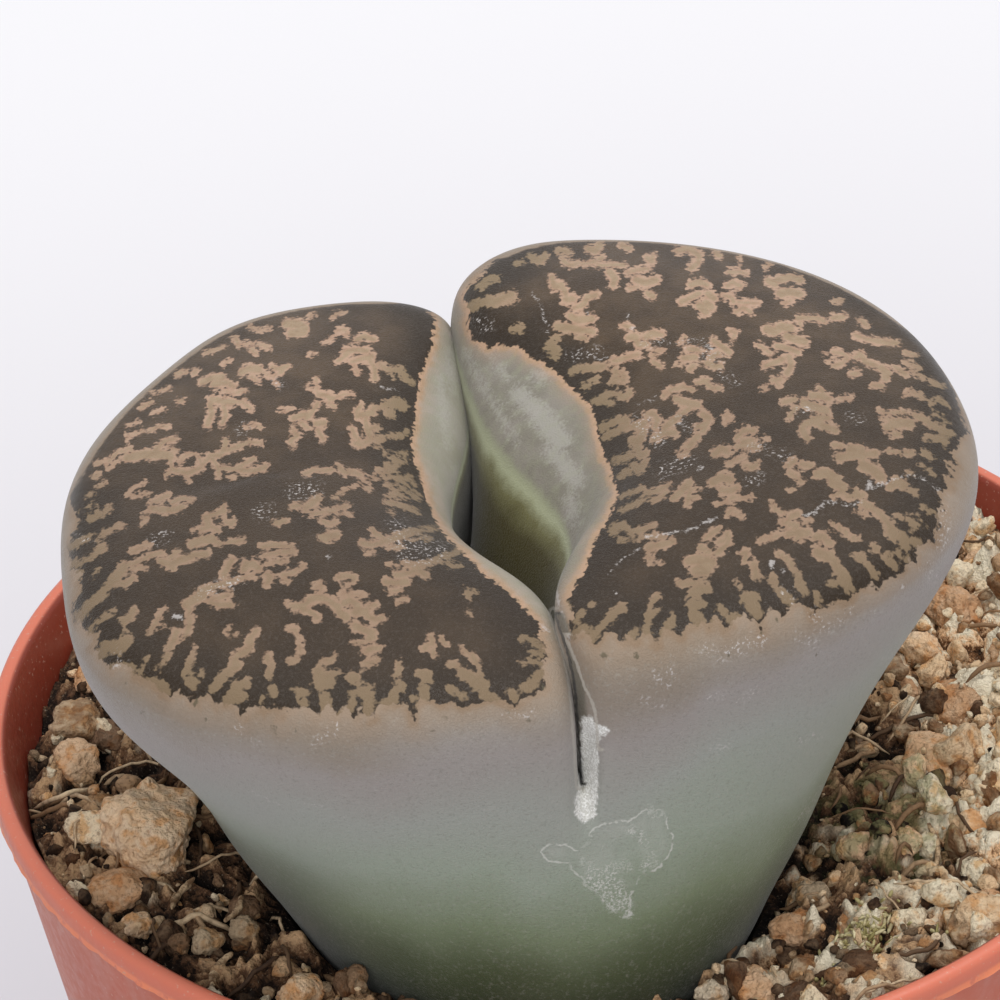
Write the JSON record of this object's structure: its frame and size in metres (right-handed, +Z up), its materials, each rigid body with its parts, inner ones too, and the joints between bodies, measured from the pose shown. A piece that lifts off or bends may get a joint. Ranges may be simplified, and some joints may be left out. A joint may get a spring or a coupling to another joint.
{
  "type": "potted stone plant",
  "caption": "Stone plant with a cleft pair of fused, patterned leaves, growing in peat and grit in a small round plastic pot with drain holes.",
  "frame": {"origin": "centre of the pot's base, on the surface that it stands on", "axes": "+Z up through the pot's axis, +Y towards the plant's back, +X to the right of a viewer who stands in front"},
  "size_m": [0.055, 0.055, 0.0671],
  "materials": {
    "pot": "terracotta red moulded plastic, slightly brighter lip",
    "soil": "dark peat with pale grit and dry fibres",
    "leaf": "waxy grey-green skin, brown windowed faces with pinkish tan islands",
    "bark": "dry bark and root strips",
    "grit_pale": "rough mineral crumb",
    "grit_tan": "rough mineral crumb",
    "grit_brown": "rough mineral crumb",
    "grit_grey": "rough mineral crumb",
    "grit_white": "rough mineral crumb",
    "grit_dark": "rough mineral crumb"
  },
  "bodies": {
    "root": {"pot": "pot", "soil": "soil", "leaf_pair": "leaf", "lump_1": "grit_pale", "lump_2": "grit_tan", "lump_3": "grit_tan", "lump_4": "grit_pale", "lump_5": "grit_grey", "lump_6": "grit_grey", "lump_7": "grit_pale", "lump_8": "grit_brown", "lump_9": "grit_tan", "lump_10": "grit_tan", "lump_11": "grit_tan", "lump_12": "grit_pale", "lump_13": "grit_tan", "lump_14": "grit_tan", "lump_15": "grit_pale", "lump_16": "grit_tan", "lump_17": "grit_pale", "lump_18": "grit_tan", "lump_19": "grit_grey", "lump_20": "grit_tan", "lump_21": "grit_white", "lump_22": "grit_tan", "lump_23": "grit_brown", "lump_24": "grit_dark", "lump_25": "grit_tan", "lump_26": "grit_tan", "lump_27": "grit_tan", "strip_1": "bark", "strip_2": "bark", "strip_3": "bark", "strip_4": "bark", "strip_5": "bark", "strip_6": "bark"}
  },
  "joints": []
}
